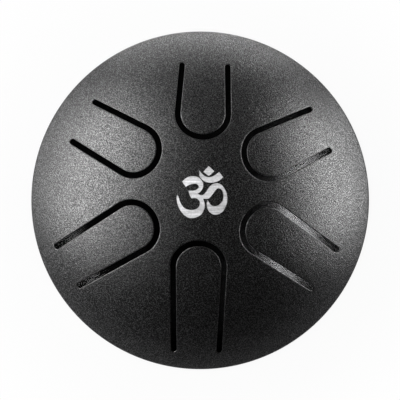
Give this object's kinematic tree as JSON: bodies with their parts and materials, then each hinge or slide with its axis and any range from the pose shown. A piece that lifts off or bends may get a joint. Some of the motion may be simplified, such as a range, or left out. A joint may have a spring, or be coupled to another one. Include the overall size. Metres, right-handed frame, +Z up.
{
  "type": "steel tongue drum",
  "caption": "Small round steel drum of two welded domes. Tongues cut in the top dome sound when struck; a hole below lets the sound out and rubber feet hold it.",
  "frame": {"origin": "middle of the drum on the surface it stands on", "axes": "+Z up along the drum's axis, +Y from the middle towards the shortest tongue, +X to the right when the drum is seen from above with the shortest tongue at the top"},
  "size_m": [0.1, 0.1, 0.0543],
  "materials": {
    "powder_coat": "black fine-textured powder coat on steel",
    "bare_steel": "engraved bare steel",
    "foot_rubber": "matt black rubber",
    "zinc_plate": "bright zinc plate"
  },
  "bodies": {
    "drum": {"top_shell": "powder_coat", "bottom_shell": "powder_coat", "rim_weld": "powder_coat", "foot_1": "foot_rubber", "foot_2": "foot_rubber", "foot_3": "foot_rubber", "foot_washer_1": "zinc_plate", "foot_washer_2": "zinc_plate", "foot_washer_3": "zinc_plate", "foot_screw_1": "zinc_plate", "foot_screw_2": "zinc_plate", "foot_screw_3": "zinc_plate", "inner_washer_1": "zinc_plate", "inner_washer_2": "zinc_plate", "inner_washer_3": "zinc_plate", "foot_nut_1": "zinc_plate", "foot_nut_2": "zinc_plate", "foot_nut_3": "zinc_plate"},
    "tongue_1": {"tongue_1": "powder_coat"},
    "tongue_2": {"tongue_2": "powder_coat"},
    "tongue_3": {"tongue_3": "powder_coat"},
    "tongue_4": {"tongue_4": "powder_coat"},
    "tongue_5": {"tongue_5": "powder_coat"},
    "tongue_6": {"tongue_6": "powder_coat"}
  },
  "joints": [
    {"name": "tongue_1_flex", "type": "hinge", "parent": "drum", "child": "tongue_1", "pos_m": [-0.00106, -0.04359, 0.03625], "axis": [0.9997, -0.0244, 0], "range_deg": [-1, 1], "stiffness_Nm_per_rad": 32},
    {"name": "tongue_2_flex", "type": "hinge", "parent": "drum", "child": "tongue_2", "pos_m": [-0.03843, -0.0191, 0.03689], "axis": [0.5105, -0.8599, 0], "range_deg": [-1, 1], "stiffness_Nm_per_rad": 34.4},
    {"name": "tongue_3_flex", "type": "hinge", "parent": "drum", "child": "tongue_3", "pos_m": [0.03588, -0.01979, 0.03861], "axis": [0.5621, 0.8271, 0], "range_deg": [-1, 1], "stiffness_Nm_per_rad": 37},
    {"name": "tongue_4_flex", "type": "hinge", "parent": "drum", "child": "tongue_4", "pos_m": [-0.03387, 0.02282, 0.03872], "axis": [-0.4879, -0.8729, 0], "range_deg": [-1, 1], "stiffness_Nm_per_rad": 41.4},
    {"name": "tongue_5_flex", "type": "hinge", "parent": "drum", "child": "tongue_5", "pos_m": [0.0346, 0.02044, 0.03926], "axis": [-0.4226, 0.9063, 0], "range_deg": [-1, 1], "stiffness_Nm_per_rad": 42.6},
    {"name": "tongue_6_flex", "type": "hinge", "parent": "drum", "child": "tongue_6", "pos_m": [0.00137, 0.03908, 0.04014], "axis": [-0.9992, 0.0401, 0], "range_deg": [-1, 1], "stiffness_Nm_per_rad": 48}
  ]
}
